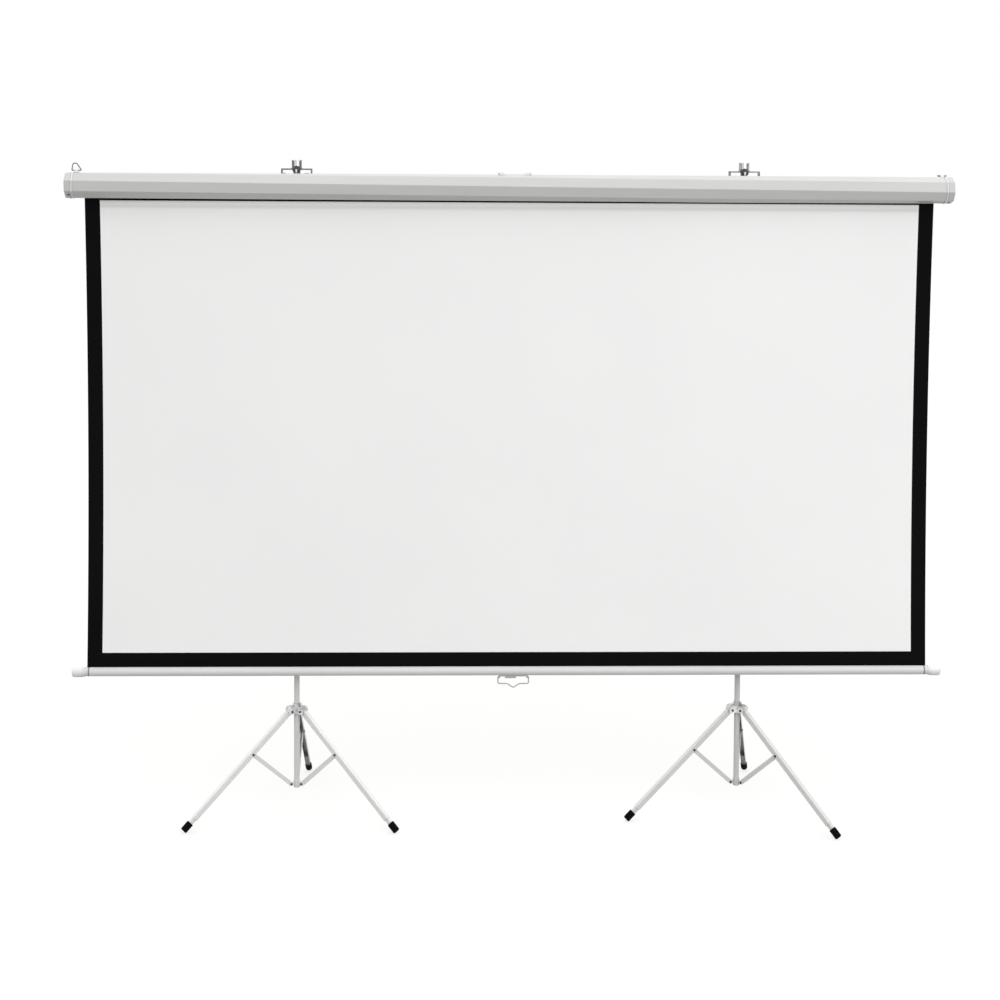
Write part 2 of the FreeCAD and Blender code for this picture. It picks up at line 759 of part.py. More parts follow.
def tongue_half_width():
    return brace_width / 2 - brace_wall - soft_gap


def spider_pins(x):
    half = brace_width / 2 + running_gap
    return Part.makeCompound([round_stand(rivet(half, pivot_radius, spider_height), azimuth, x)
                              for azimuth in leg_azimuths.values()])


def leg(azimuth, x):
    """Channel with its web outwards, the insert that carries the foot, and the brace's rivet."""
    half = leg_width / 2
    channel_end = leg_length - foot_length - leg_insert_show
    web_inside = leg_outer_edge - leg_wall
    channel = block(-leg_top, channel_end, -half, half, -leg_inner_edge, leg_outer_edge)
    channel = rounded(channel, leg_top_round, lambda middle: abs(middle.x + leg_top) < same_place
                      and abs(middle.y) < same_place)
    channel = channel.cut(block(-2 * leg_top, leg_length, -half + leg_wall, half - leg_wall,
                                -2 * leg_inner_edge, web_inside))
    channel = channel.cut(cross_rod(0, 0, leg_width, rivet_radius + running_gap))
    low = foot_axis_offset - leg_insert_half_depth
    high = foot_axis_offset + leg_insert_half_depth
    hold = block(channel_end - leg_insert_hold, channel_end - leg_wall, -half, half, low, web_inside)
    insert = block(channel_end - leg_insert_hold, leg_length - foot_end_wall, -leg_insert_half_width,
                   leg_insert_half_width, low, high)
    piece = fused([channel, hold, insert, rivet(half, link_length, 0)])
    return round_stand(along_leg(piece), azimuth, x)


def along_leg(shape):
    """Turn a piece made with X down the leg and Z away from the post into the open leg's place."""
    placed = shape.copy()
    placed.rotate(ORIGIN, Y_AXIS, 90 - leg_spread)
    placed.translate(Vec(pivot_radius, 0, hub_height))
    return placed


def foot(azimuth, x):
    """Rubber cap on the leg's insert, flattened where it stands on the floor."""
    start = Vec(leg_length - foot_length, 0, foot_axis_offset)
    end = Vec(leg_length, 0, foot_axis_offset)
    cap = rod(start, end, foot_radius)
    cap = rounded(cap, foot_round, lambda middle: abs(middle.x - leg_length) < same_place)
    cap = cap.cut(block(0, leg_length - foot_end_wall + slide_gap,
                        -leg_insert_half_width - slide_gap, leg_insert_half_width + slide_gap,
                        foot_axis_offset - leg_insert_half_depth - slide_gap,
                        foot_axis_offset + leg_insert_half_depth + slide_gap))
    cap = along_leg(cap)
    below = block(0, 2 * leg_length, -leg_length, leg_length, -leg_length, 0)
    return round_stand(cap.cut(below), azimuth, x)


def brace(azimuth, x):
    """Channel between the spider and the middle of a leg, with its web away from the post."""
    half = brace_width / 2
    ends = [cross_rod(place, 0, half, brace_half_depth) for place in (0, link_length)]
    channel = fused(ends + [block(0, link_length, -half, half, -brace_half_depth, brace_half_depth)])
    channel = channel.cut(block(-2 * brace_half_depth, link_length + 2 * brace_half_depth,
                                -half + brace_wall, half - brace_wall,
                                -brace_half_depth + brace_wall, 2 * brace_half_depth))
    for place in (0, link_length):
        channel = channel.cut(cross_rod(place, 0, brace_width, rivet_radius + running_gap))
    channel.rotate(ORIGIN, Y_AXIS, leg_spread - 90)
    channel.translate(Vec(pivot_radius, 0, spider_height))
    return round_stand(channel, azimuth, x)


def screen_pieces():
    """Every piece of the screen and its case, by name."""
    sides = {"left": -1, "right": 1}
    pieces = {
        "case_shell": case_shell(),
        "end_cap_screws": Part.makeCompound([cap_screw(side, back) for side in (-1, 1) for back in (-1, 1)]),
        "roller_brackets": Part.makeCompound([roller_bracket(side) for side in (-1, 1)]),
        "spring_shaft": spring_shaft(),
        "torsion_spring": torsion_spring(),
        "roller_tube": roller_tube(),
        "fabric_wraps": fabric_wraps(),
        "screen_fabric": screen_fabric(),
        "bottom_bar": bottom_bar(),
        "hem_rod": hem_rod(),
        "handle_clip": handle_clip(),
        "pull_handle": pull_handle(),
        "hanger_ring_left": hanger_ring(-1, 0),
        "hanger_ring_right": hanger_ring(1, fold_back_angle),
        "carry_handle": carry_handle(),
        "hook_screws": Part.makeCompound([hook_screw(x) for x in hook_tab_places()]),
        "clamp_screws": Part.makeCompound([clamp_screw(x) for x in stand_x.values()]),
        "bail_eyes": Part.makeCompound(
            [bail_eye(side * ring_eye_x, ring_eye_width, ring_wire_radius) for side in (-1, 1)]
            + [bail_eye(carry_from_middle + side * carry_eye_x, carry_eye_width, carry_wire_radius)
               for side in (-1, 1)]),
    }
    for name, side in sides.items():
        pieces["end_cap_" + name] = end_cap(side)
        pieces["roller_plug_" + name] = roller_plug(side)
        pieces["bar_cap_" + name] = bar_cap(side)
        pieces["hook_bracket_" + name] = hook_bracket(stand_x[name])
        pieces["mast_" + name] = mast(stand_x[name])
    return pieces


def stand_pieces(name):
    """Every piece of one tripod stand, by name; the tripod itself is turned about its mast."""
    x = stand_x[name]
    tripod = {"hub": hub(x), "hub_pins": hub_pins(x), "spider": spider(x), "spider_pins": spider_pins(x)}
    for place, azimuth in leg_azimuths.items():
        tripod["leg_" + place] = leg(azimuth, x)
        tripod["foot_" + place] = foot(azimuth, x)
        tripod["brace_" + place] = brace(azimuth, x)
    for shape in tripod.values():
        shape.rotate(Vec(x, 0, 0), Z_AXIS, stand_turn[name])
    pieces = {"post": post(x), "collar": collar(x), "knob": knob(x), **tripod}
    return {name + "_stand_" + piece: shape for piece, shape in pieces.items()}


def middle_y(shapes):
    """Middle of the whole object from front to back."""
    boxes = [shape.optimalBoundingBox(False, False) for shape in shapes]
    return (min(box.YMin for box in boxes) + max(box.YMax for box in boxes)) / 2


parts = screen_pieces()
for stand in stand_x:
    parts.update(stand_pieces(stand))
frame_shift = -middle_y(parts.values())
os.makedirs("parts", exist_ok=True)
for node, shape in parts.items():
    shape.translate(Vec(0, frame_shift, 0))
    shape.exportStep("parts/" + node + ".step")
print(len(parts), "pieces, masts at y =", round(frame_shift, 3))
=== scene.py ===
import math
import bpy
import numpy as np
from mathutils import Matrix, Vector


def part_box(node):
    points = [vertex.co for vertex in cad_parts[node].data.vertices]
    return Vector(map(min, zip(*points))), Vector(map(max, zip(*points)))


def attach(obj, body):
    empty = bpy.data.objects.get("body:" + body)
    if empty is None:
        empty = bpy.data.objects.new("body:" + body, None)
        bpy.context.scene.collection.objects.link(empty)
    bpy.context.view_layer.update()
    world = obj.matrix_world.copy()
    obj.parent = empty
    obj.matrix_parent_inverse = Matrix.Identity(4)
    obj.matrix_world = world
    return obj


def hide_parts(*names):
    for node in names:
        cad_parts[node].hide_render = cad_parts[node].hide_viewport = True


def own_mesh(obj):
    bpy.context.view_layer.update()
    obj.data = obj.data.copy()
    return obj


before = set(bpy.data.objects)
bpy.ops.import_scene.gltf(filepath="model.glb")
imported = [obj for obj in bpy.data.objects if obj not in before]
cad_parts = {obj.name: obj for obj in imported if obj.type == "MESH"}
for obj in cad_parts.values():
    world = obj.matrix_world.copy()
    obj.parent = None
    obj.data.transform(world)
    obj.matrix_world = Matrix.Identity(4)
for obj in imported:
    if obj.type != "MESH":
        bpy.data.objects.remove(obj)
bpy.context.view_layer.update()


# Case: sheet metal folded to an octagonal tube with a corner to the front, open along the bottom.
# The long tube has wound up a little, so that its front corner climbs towards the left end.
# It is powder coated in a soft grey-white, with the faint orange peel of a sprayed finish.
cloud_scale = 14.0
cloud_detail = 6.0
cloud_roughness = 0.6
cloud_start = 0.3
cloud_end = 0.7
grain_detail = 2.0


def add_node(tree, kind, sockets=()):
    """New shader node. Each socket that is given takes a plain value or another node's output."""
    node = tree.nodes.new("ShaderNode" + kind)
    for socket, value in dict(sockets).items():
        if isinstance(value, bpy.types.NodeSocket):
            tree.links.new(value, node.inputs[socket])
        else:
            node.inputs[socket].default_value = value
    return node


def tint(tree, share, dark, light):
    """Base colour that runs from dark to light while a cloudy share climbs from its start to its end."""
    ramp = add_node(tree, "ValToRGB", {"Fac": share})
    for stop, level, colour in zip(ramp.color_ramp.elements, (cloud_start, cloud_end), (dark, light)):
        stop.position = level
        stop.color = (*colour, 1.0)
    tree.links.new(ramp.outputs["Color"], tree.nodes["Principled BSDF"].inputs["Base Color"])


def coat(name, dark, light, rough, peel_size, peel, metallic=0.0, streak=(1.0, 1.0, 1.0), gloss=0.5):
    """Surface finish in Object coordinates.

    A broad cloudy noise, drawn out by streak, mixes the colour from dark to light and the roughness
    over its range; a fine noise of the grain size in metres lifts the surface by peel metres.
    """
    material = bpy.data.materials.new(name)
    material.use_nodes = True
    tree = material.node_tree
    shader = tree.nodes["Principled BSDF"]
    shader.inputs["Metallic"].default_value = metallic
    shader.inputs["Specular IOR Level"].default_value = gloss
    place = add_node(tree, "TexCoord").outputs["Object"]
    drawn_out = add_node(tree, "Mapping", {"Vector": place, "Scale": streak}).outputs["Vector"]
    cloud = add_node(tree, "TexNoise", {"Vector": drawn_out, "Scale": cloud_scale, "Detail": cloud_detail,
                                        "Roughness": cloud_roughness}).outputs["Fac"]
    tint(tree, cloud, dark, light)
    polish = add_node(tree, "MapRange", {"Value": cloud, "From Min": cloud_start, "From Max": cloud_end,
                                         "To Min": rough[0], "To Max": rough[1]})
    tree.links.new(polish.outputs["Result"], shader.inputs["Roughness"])
    grain = add_node(tree, "TexNoise", {"Vector": drawn_out, "Scale": 1.0 / peel_size,
                                        "Detail": grain_detail})
    relief = add_node(tree, "Bump", {"Height": grain.outputs["Fac"], "Strength": 1.0, "Distance": peel})
    tree.links.new(relief.outputs["Normal"], shader.inputs["Normal"])
    return material


case_low, case_high = np.array(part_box("case_shell"))
case_radius = (case_high[1] - case_low[1]) / 2
case_y = case_low[1] + case_radius
case_z = case_high[2] - case_radius
case_wall = 0.001
case_steps = 97
case_corners = np.arange(-2, 6)
facet_turn = math.pi / 4
corner_cut = 0.00017
corner_turns = np.radians([-1.3, 0.0, 1.3])
lean_at_middle = 5.4
lean_per_metre = 11.9
slot_front = math.radians(-92.0)
slot_back = math.radians(245.0)
point_gap = 0.0005
lip_radius = 0.0018
lip_inset = 0.03
lip_points = 12


def lean(x):
    """Turn of the front corner upwards: the middle's, less by a constant for each metre to the right."""
    return np.radians(lean_at_middle - lean_per_metre * x)


def octagon_reach(angle, turn, radius):
    """Distance from the case axis to an octagon in a direction.

    A facet lies at a constant distance, so the reach is that distance over the cosine of the angle
    from the facet's middle, held back a little at the corners, which are rounded.
    """
    from_middle = np.mod(angle - turn, facet_turn) - facet_turn / 2
    return np.minimum(radius * math.cos(facet_turn / 2) / np.cos(from_middle), radius - corner_cut)


def at_case(x, angle, reach):
    """Point at a place along the case, in a direction from the front upwards, at a reach from the axis."""
    y = case_y - reach * np.cos(angle)
    z = case_z + reach * np.sin(angle)
    return np.stack(np.broadcast_arrays(x, y, z), -1)


def closed_skin(loops, start=0):
    """Skin over closed loops that follow each other, with the first and the last loop shut by a face."""
    rows, count = loops.shape[:2]
    index = start + np.arange(rows * count).reshape(rows, count)
    ahead = np.roll(index, -1, axis=1)
    skin = np.stack([index[:-1], index[1:], ahead[1:], ahead[:-1]], -1).reshape(-1, 4)
    return loops.reshape(-1, 3), skin.tolist() + [index[0].tolist(), index[-1, ::-1].tolist()]


def piece_of(name, skins, material, smooth=False):
    """One mesh object from a list of loop grids, each closed into a skin."""
    points = []
    faces = []
    for loops in skins:
        more_points, more_faces = closed_skin(loops, sum(len(group) for group in points))
        points.append(more_points)
        faces += more_faces
    mesh = bpy.data.meshes.new(name)
    mesh.from_pydata(np.vstack(points).tolist(), [], faces)
    mesh.polygons.foreach_set("use_smooth", np.full(len(faces), smooth))
    mesh.materials.append(material)
    mesh.update()
    piece = bpy.data.objects.new(name, mesh)
    bpy.context.collection.objects.link(piece)
    return piece


def folded_sheet():
    """Octagonal sheet along the case.

    Along, x runs from seam to seam; around, the angle runs from the front of the slot over the top to
    its back, with three points at each corner. The outside and the inside, one wall nearer to the
    axis, make a closed loop at each x.
    """
    x = np.linspace(case_low[0], case_high[0], case_steps)[:, None]
    corners = (case_corners[:, None] * facet_turn + corner_turns).ravel()
    order = np.arange(len(corners))
    angle = np.clip(corners + lean(x), slot_front + point_gap * (order + 1),
                    slot_back - point_gap * (len(corners) - order))
    angle = np.hstack([np.full_like(x, slot_front), angle, np.full_like(x, slot_back)])
    reach = octagon_reach(angle, lean(x), case_radius)
    inside = at_case(x, angle, reach - case_wall)
    return np.concatenate([at_case(x, angle, reach), inside[:, ::-1]], axis=1)


def rolled_lip(edge, inset):
    """Round bead along an edge of the slot: a small circle carried along the case at the sheet's reach."""
    x = np.linspace(case_low[0], case_high[0], case_steps)[:, None]
    middle = at_case(x, edge + inset, octagon_reach(edge, lean(x), case_radius) - lip_radius / 2)
    turn = np.linspace(0, 2 * np.pi, lip_points, endpoint=False)
    round_it = np.stack([0 * turn, -np.cos(turn), np.sin(turn)], -1)
    return middle + lip_radius * round_it


case_coat = coat("case_coat", dark=(0.565, 0.565, 0.558), light=(0.61, 0.61, 0.603), rough=(0.36, 0.46),
                 peel_size=0.0014, peel=0.00002, streak=(0.15, 1.0, 1.0))
case_folds = [folded_sheet(), rolled_lip(slot_front, lip_inset), rolled_lip(slot_back, -lip_inset)]
case_skin = piece_of("case_skin", case_folds, case_coat)
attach(case_skin, "case")
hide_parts("case_shell")


# End caps: white moulded octagonal caps with a proud ring at the seam, pushed into the case's ends.
# Two dark recessed screws hold each of them from below, one in front and one behind.
cap_ring_width = 0.0057
cap_ring_radius = 0.0376
cap_body_radius = 0.0365
cap_bevel = 0.003
bevel_knee_along = 0.4
bevel_knee_across = 0.25
cap_edge = 0.0004
cap_groove = 0.0009
cap_groove_radius = 0.0352
cap_wall = 0.003
cap_corners = np.arange(8)
cap_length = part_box("end_cap_right")[1][0] - case_high[0]
cap_profile = np.array([
    (cap_length - cap_wall, cap_body_radius - cap_wall),
    (0.0, cap_body_radius - cap_wall),
    (0.0, cap_groove_radius),
    (cap_groove, cap_groove_radius),
    (cap_groove, cap_ring_radius - cap_edge),
    (cap_groove + cap_edge, cap_ring_radius),
    (cap_ring_width - cap_edge, cap_ring_radius),
    (cap_ring_width, cap_ring_radius - cap_edge),
    (cap_ring_width, cap_groove_radius),
    (cap_ring_width + cap_groove, cap_groove_radius),
    (cap_ring_width + cap_groove, cap_body_radius),
    (cap_length - cap_bevel, cap_body_radius),
    (cap_length - bevel_knee_along * cap_bevel, cap_body_radius - bevel_knee_across * cap_bevel),
    (cap_length, cap_body_radius - cap_bevel)])
ring_white = (0.72, 0.72, 0.72)
screw_facets = np.radians([-67.5, -112.5])
screw_from_seam = 0.0125
screw_profile = np.array([(0.0001, 0.0006), (0.0011, 0.0006), (0.0013, 0.0017), (0.002, 0.0016),
                          (0.0026, 0.0012), (0.0031, 0.0006), (0.0032, 0.0), (0.0032, -0.0004)])
head_points = 20
head_slant = (0.36, 0.48, 0.8)
mix_first = 6
mix_second = 7
mix_result = 2


def figured(tree, operation, *terms):
    """Result of one sum on outputs and plain numbers."""
    node = add_node(tree, "Math", enumerate(terms))
    node.operation = operation
    return node.outputs["Value"]


def inside_box(material, centre=(0, 0, 0), turn=(0, 0, 0), **ranges):
    """Share that is 1 inside a box, which is turned and moved to its place, and 0 outside.

    A range of X, Y or Z is a near and a far limit. The share is the product of one test for each
    limit, and None leaves that side open.
    """
    tree = material.node_tree
    place = add_node(tree, "TexCoord").outputs["Object"]
    local = add_node(tree, "Mapping", {"Vector": place, "Location": centre, "Rotation": turn})
    local.vector_type = "TEXTURE"
    axes = add_node(tree, "SeparateXYZ", {"Vector": local.outputs["Vector"]}).outputs
    tests = [figured(tree, rule, axes[axis], limit) for axis, limits in ranges.items()
             for rule, limit in zip(("GREATER_THAN", "LESS_THAN"), limits) if limit is not None]
    share = tests[0]
    for test in tests[1:]:
        share = figured(tree, "MULTIPLY", share, test)
    return share


def stain(material, share, colour):
    """Mix a second colour into a finish by a share. The mix's sockets share their names and go by place."""
    tree = material.node_tree
    base_colour = tree.nodes["Principled BSDF"].inputs["Base Color"]
    mix = tree.nodes.new("ShaderNodeMix")
    mix.data_type = "RGBA"
    tree.links.new(share, mix.inputs[0])
    tree.links.new(base_colour.links[0].from_socket, mix.inputs[mix_first])
    mix.inputs[mix_second].default_value = (*colour, 1.0)
    tree.links.new(mix.outputs[mix_result], base_colour)


def moulded_cap(side):
    """Octagonal cap.

    The profile gives the distance from the seam and the reach, from the inside of the end wall over
    the ring and the body to the bevelled end; it is carried round the eight corners of the case's end.
    """
    seam = side * case_high[0]
    turn = lean(seam)
    around = (cap_corners[:, None] * facet_turn + corner_turns).ravel()[::side] + turn
    reach = octagon_reach(around, turn, cap_profile[:, 1:])
    return at_case(seam + side * cap_profile[:, :1], around, reach)


def turned_head(centre, outward, profile):
    """Round head on a surface: pairs of radius and height, from middle to rim, turned round outward.

    The ring starts square to outward and to the slant, a direction that no head faces.
    """
    outward = np.array(outward) / np.linalg.norm(outward)
    across = np.cross(outward, head_slant)
    across = across / np.linalg.norm(across)
    upward = np.cross(outward, across)
    turn = np.linspace(0, 2 * np.pi, head_points, endpoint=False)[:, None]
    ring = np.cos(turn) * across + np.sin(turn) * upward
    return np.array(centre) + profile[:, :1, None] * ring + profile[:, 1:, None] * outward


cap_plastic = coat("cap_plastic", dark=(0.55, 0.55, 0.552), light=(0.60, 0.60, 0.602), rough=(0.28, 0.38),
                   peel_size=0.0009, peel=0.000012)
ring_middle = case_high[0] + (cap_groove + cap_ring_width) / 2
ring_half = (cap_ring_width - cap_groove) / 2
for ring_x in (-ring_middle, ring_middle):
    ring = inside_box(cap_plastic, (ring_x, 0, 0), X=(-ring_half, ring_half))
    stain(cap_plastic, ring, ring_white)
screw_steel = coat("screw_steel", dark=(0.05, 0.05, 0.052), light=(0.12, 0.12, 0.12), rough=(0.3, 0.5),
                   peel_size=0.0004, peel=0.00002, metallic=0.8)
screw_heads = []
for cap_name, side in (("end_cap_left", -1), ("end_cap_right", 1)):
    cap = piece_of(cap_name + "_moulding", [moulded_cap(side)], cap_plastic)
    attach(cap, "case")
    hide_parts(cap_name)
    for facet in screw_facets:
        screw_x = side * (case_high[0] + screw_from_seam)
        facing = facet + lean(side * case_high[0])
        seat = at_case(screw_x, facing, cap_body_radius * math.cos(facet_turn / 2))
        screw_heads.append(turned_head(seat, (0, -math.cos(facing), math.sin(facing)), screw_profile))
cap_screws = piece_of("cap_screws", screw_heads, screw_steel, smooth=True)
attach(cap_screws, "case")
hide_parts("end_cap_screws")


# Roller inside the case: aluminium tube on two moulded plugs and brackets, with the spring on its shaft.
# Only its ends and the last turns of cloth can be glimpsed through the slot.
def dress(material, *names):
    """Put one finish on CAD pieces."""
    for name in names:
        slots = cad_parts[name].data.materials
        slots.clear()
        slots.append(material)


bracket_plastic = coat("bracket_plastic", dark=(0.42, 0.42, 0.41), light=(0.5, 0.5, 0.49),
                       rough=(0.45, 0.6), peel_size=0.001, peel=0.00002)
dress(bracket_plastic, "roller_brackets", "roller_plug_left", "roller_plug_right")
roller_metal = coat("roller_metal", dark=(0.6, 0.6, 0.61), light=(0.72, 0.72, 0.73), rough=(0.3, 0.45),
                    peel_size=0.0006, peel=0.00001, metallic=1.0, streak=(0.1, 1.0, 1.0))
dress(roller_metal, "roller_tube")
oiled_steel = coat("oiled_steel", dark=(0.28, 0.27, 0.26), light=(0.42, 0.41, 0.4), rough=(0.25, 0.45),
                   peel_size=0.0008, peel=0.00003, metallic=1.0)
dress(oiled_steel, "spring_shaft", "torsion_spring", "hem_rod")


# Hook brackets: plated steel strip bent over a socket on the mast and screwed to the back of the case.
# The strip has dulled to grey while the socket is still bright. A dome-headed screw clamps it to the
# mast, and its black coat carries a painted highlight, a small bright patch on the front of the dome.
socket_half = 0.0092
socket_height = 0.0225
socket_bright = (0.66, 0.66, 0.67)
dome_below_top = 0.0265
highlight_half = 0.0023
highlight_heights = (-0.0085, 0.001)
painted_highlight_white = (0.8, 0.8, 0.8)
dome_dark = coat("dome_dark", dark=(0.02, 0.02, 0.022), light=(0.05, 0.05, 0.052), rough=(0.2, 0.3),
                 peel_size=0.0012, peel=0.00001)
for side in ("left", "right"):
    mast_low, mast_high = np.array(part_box("mast_" + side))
    mast_x = (mast_low[0] + mast_high[0]) / 2
    mast_top = mast_high[2]
    strip_plate = coat("strip_plate_" + side, dark=(0.09, 0.09, 0.093), light=(0.26, 0.26, 0.265),
                       rough=(0.15, 0.34), peel_size=0.02, peel=0.0001, metallic=1.0,
                       streak=(7.0, 7.0, 7.0))
    socket = inside_box(strip_plate, (mast_x, 0, 0), X=(-socket_half, socket_half),
                        Z=(mast_top - socket_height, None))
    stain(strip_plate, socket, socket_bright)
    dress(strip_plate, "hook_bracket_" + side)
    # Painted highlight: a small light box on the front of each black dome.
    dome_highlight = inside_box(dome_dark, (mast_x, 0, mast_top - dome_below_top), X=(-highlight_half, highlight_half),
                      Z=highlight_heights)
    stain(dome_dark, dome_highlight, painted_highlight_white)
dress(dome_dark, "clamp_screws")
dull_plate = coat("dull_plate", dark=(0.16, 0.16, 0.165), light=(0.34, 0.34, 0.345), rough=(0.2, 0.4),
                  peel_size=0.0012, peel=0.00002, metallic=1.0)
dress(dull_plate, "hook_screws")


# Hanger rings and carry handle: drawn wire, bent and sprung into the eyes on top of the case.
# The rings are bare steel dulled by handling; the carry handle and the eyes are coated white.
ring_wire = coat("ring_wire", dark=(0.11, 0.11, 0.113), light=(0.25, 0.25, 0.255), rough=(0.25, 0.45),
                 peel_size=0.0006, peel=0.00002, metallic=1.0)
dress(ring_wire, "hanger_ring_left", "hanger_ring_right")
carry_coat = coat("carry_coat", dark=(0.74, 0.74, 0.735), light=(0.81, 0.81, 0.805), rough=(0.3, 0.42),
                  peel_size=0.0008, peel=0.00001)
dress(carry_coat, "carry_handle", "bail_eyes")


# Screen cloth: one white woven sheet with printed black borders and a black backing.
# It hangs from the roller, and its free edges draw in between the roller and the bar.
# The edge of its black top margin just shows below the case.
cloth_low, cloth_high = np.array(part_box("screen_fabric"))
cloth_half = cloth_high[0]
cloth_thickness = cloth_high[1] - cloth_low[1]
border_width = 0.0405
border_columns = 7
field_columns = 121
edge_draw_in = 0.006
cloth_ripple = 0.0008
wave_crest = 1.9
wave_rows = ((1.0, 7.0, 0.0, 1.3), (0.6, 17.0, 2.1, 0.0), (0.3, 31.0, -3.0, 0.0))
yarn_spacing = 0.0011
yarn_scale = math.pi / 10 / yarn_spacing
yarn_sway = 0.4
weave_strength = 0.35
cloth_cloud_scale = 2.2
cloth_cloud_detail = 4.0
shade_band_grey = (0.35, 0.35, 0.35)


def sheet_of(name, points, faces, materials):
    """Mesh object of a sheet, whose UV map holds the place of each corner across and up, in metres."""
    mesh = bpy.data.meshes.new(name)
    mesh.from_pydata(points.tolist(), [], faces.tolist())
    for material in materials:
        mesh.materials.append(material)
    weave = mesh.uv_layers.new(name="weave")
    weave.data.foreach_set("uv", points[faces.ravel()][:, (0, 2)].astype(np.float32).ravel())
    mesh.update()
    sheet = bpy.data.objects.new(name, mesh)
    bpy.context.collection.objects.link(sheet)
    return sheet


def cloth_slab(name, heights, black_rows, materials):
    """Thin closed sheet through a row of heights, from the top down.

    Across, x runs over the left border, the white field and the right border, which keep their
    widths. The half width is the full one less a parabola that is zero at the roller and at the bar,
    and long shallow waves push the sheet back from the roller, fading to nothing at both. Each wave
    is a share of the ripple times the sine of its turns across, up and at the start. The back is the
    front moved by the thickness, and the rim is closed. The first rows are black right across.
    """
    border = np.linspace(0.0, 1.0, border_columns)
    field = np.linspace(0.0, 1.0, field_columns)
    rows = len(heights) - 1
    z = heights[:, None]
    span = (z - (cloth_low[2] + cloth_high[2]) / 2) / ((cloth_high[2] - cloth_low[2]) / 2)
    half = cloth_half - edge_draw_in * (1 - span ** 2)
    inner = half - border_width
    x = np.hstack([-half + border_width * border[:-1], -inner + 2 * inner * field,
                   inner + border_width * border[1:]])
    fade = np.clip(1 - span ** 2, 0, 1)
    wave = sum(size * np.sin(across * x + up * z + start) for size, across, up, start in wave_rows)
    front_y = cloth_low[1] + cloth_ripple * fade * (wave_crest + wave)
    columns = x.shape[1]
    front = np.stack([x, front_y, z + 0 * x], -1).reshape(-1, 3)
    back = front + np.array([0, cloth_thickness, 0])
    grid = np.arange((rows + 1) * columns).reshape(rows + 1, columns)
    count = grid.size
    front_faces = np.stack([grid[1:, :-1], grid[1:, 1:], grid[:-1, 1:], grid[:-1, :-1]], -1).reshape(-1, 4)
    back_faces = front_faces[:, ::-1] + count
    rim = np.concatenate([grid[0, :-1], grid[:-1, -1], grid[-1, :0:-1], grid[:0:-1, 0]])
    ahead = np.roll(rim, -1)
    rim_faces = np.stack([rim, ahead, ahead + count, rim + count], -1)
    faces = np.vstack([front_faces, back_faces, rim_faces])
    sheet = sheet_of(name, np.vstack([front, back]), faces, materials)
    row, column = np.divmod(np.arange(rows * (columns - 1)), columns - 1)
    black = (column < border_columns - 1) | (column >= columns - border_columns) | (row < black_rows)
    backing = np.full(len(back_faces), len(materials) - 1)
    index = np.concatenate([black, backing, np.ones(len(rim_faces))])
    sheet.data.polygons.foreach_set("material_index", index.astype(np.int32))
    sheet.data.polygons.foreach_set("use_smooth", np.arange(len(faces)) < len(faces) - len(rim_faces))
    sheet.data.update()
    return sheet


def weave_place(tree):
    """Place on the flat sheet, from its UV map."""
    place = add_node(tree, "UVMap")
    place.uv_map = "weave"
    return place.outputs["UV"]


def woven(name, low, high, rough, gloss, lift):
    """Plain weave in the sheet's own coordinates.

    Warp and weft are two bands of the yarn spacing, whose product lifts the surface by lift metres,
    and a slow noise moves the colour between low and high.
    """
    material = bpy.data.materials.new(name)
    material.use_nodes = True
    tree = material.node_tree
    shader = tree.nodes["Principled BSDF"]
    shader.inputs["Roughness"].default_value = rough
    shader.inputs["Specular IOR Level"].default_value = gloss
    place = weave_place(tree)
    bands = []
    for direction in ("X", "Y"):
        band = add_node(tree, "TexWave", {"Vector": place, "Scale": yarn_scale, "Distortion": yarn_sway})
        band.bands_direction = direction
        bands.append(band.outputs["Fac"])
    cross = figured(tree, "MULTIPLY", *bands)
    relief = add_node(tree, "Bump", {"Height": cross, "Strength": weave_strength, "Distance": lift})
    tree.links.new(relief.outputs["Normal"], shader.inputs["Normal"])
    cloud = add_node(tree, "TexNoise", {"Vector": place, "Scale": cloth_cloud_scale,
                                        "Detail": cloth_cloud_detail})
    tint(tree, cloud.outputs["Fac"], low, high)
    return material


def shade_band(material, height, half_width, depth):
    """Painted shade: a soft dark line across a sheet, whose share is depth at the height and falls to 0 a
    half width away.
    """
    tree = material.node_tree
    axes = add_node(tree, "SeparateXYZ", {"Vector": weave_place(tree)})
    distance = figured(tree, "ABSOLUTE", figured(tree, "SUBTRACT", axes.outputs["Y"], height))
    fall = add_node(tree, "MapRange", {"Value": distance, "From Max": half_width, "To Min": depth,
                                       "To Max": 0.0})
    fall.interpolation_type = "SMOOTHSTEP"
    stain(material, fall.outputs["Result"], shade_band_grey)


matte_white = woven("matte_white", low=(0.95, 0.95, 0.954), high=(0.973, 0.973, 0.976), rough=0.95,
                    gloss=0.1, lift=0.00005)
printed_black = woven("printed_black", low=(0.0014, 0.0014, 0.0016), high=(0.0024, 0.0024, 0.0026),
                      rough=0.85, gloss=0.09, lift=0.00006)
backing_black = woven("backing_black", low=(0.014, 0.014, 0.015), high=(0.022, 0.022, 0.023), rough=0.8,
                      gloss=0.2, lift=0.0001)
# Painted shade of the case: a soft grey band across the white cloth just below it.
shade_band_below_case = 0.018
shade_band(matte_white, case_low[2] - shade_band_below_case, half_width=0.009, depth=0.2)
border_top = cloth_low[2] + border_width
margin_shows = 0.0032
top_margin = case_low[2] - margin_shows
margin_rows = 4
screen_rows = 97
seam_row = 0.0003
screen_heights = np.concatenate([np.linspace(cloth_high[2], top_margin, margin_rows, endpoint=False),
                                 np.linspace(top_margin, border_top + seam_row, screen_rows), [border_top]])
screen_cloth = cloth_slab("screen_cloth", screen_heights, margin_rows,
                          [matte_white, printed_black, backing_black])
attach(screen_cloth, "case")
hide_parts("screen_fabric")
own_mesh(screen_cloth)


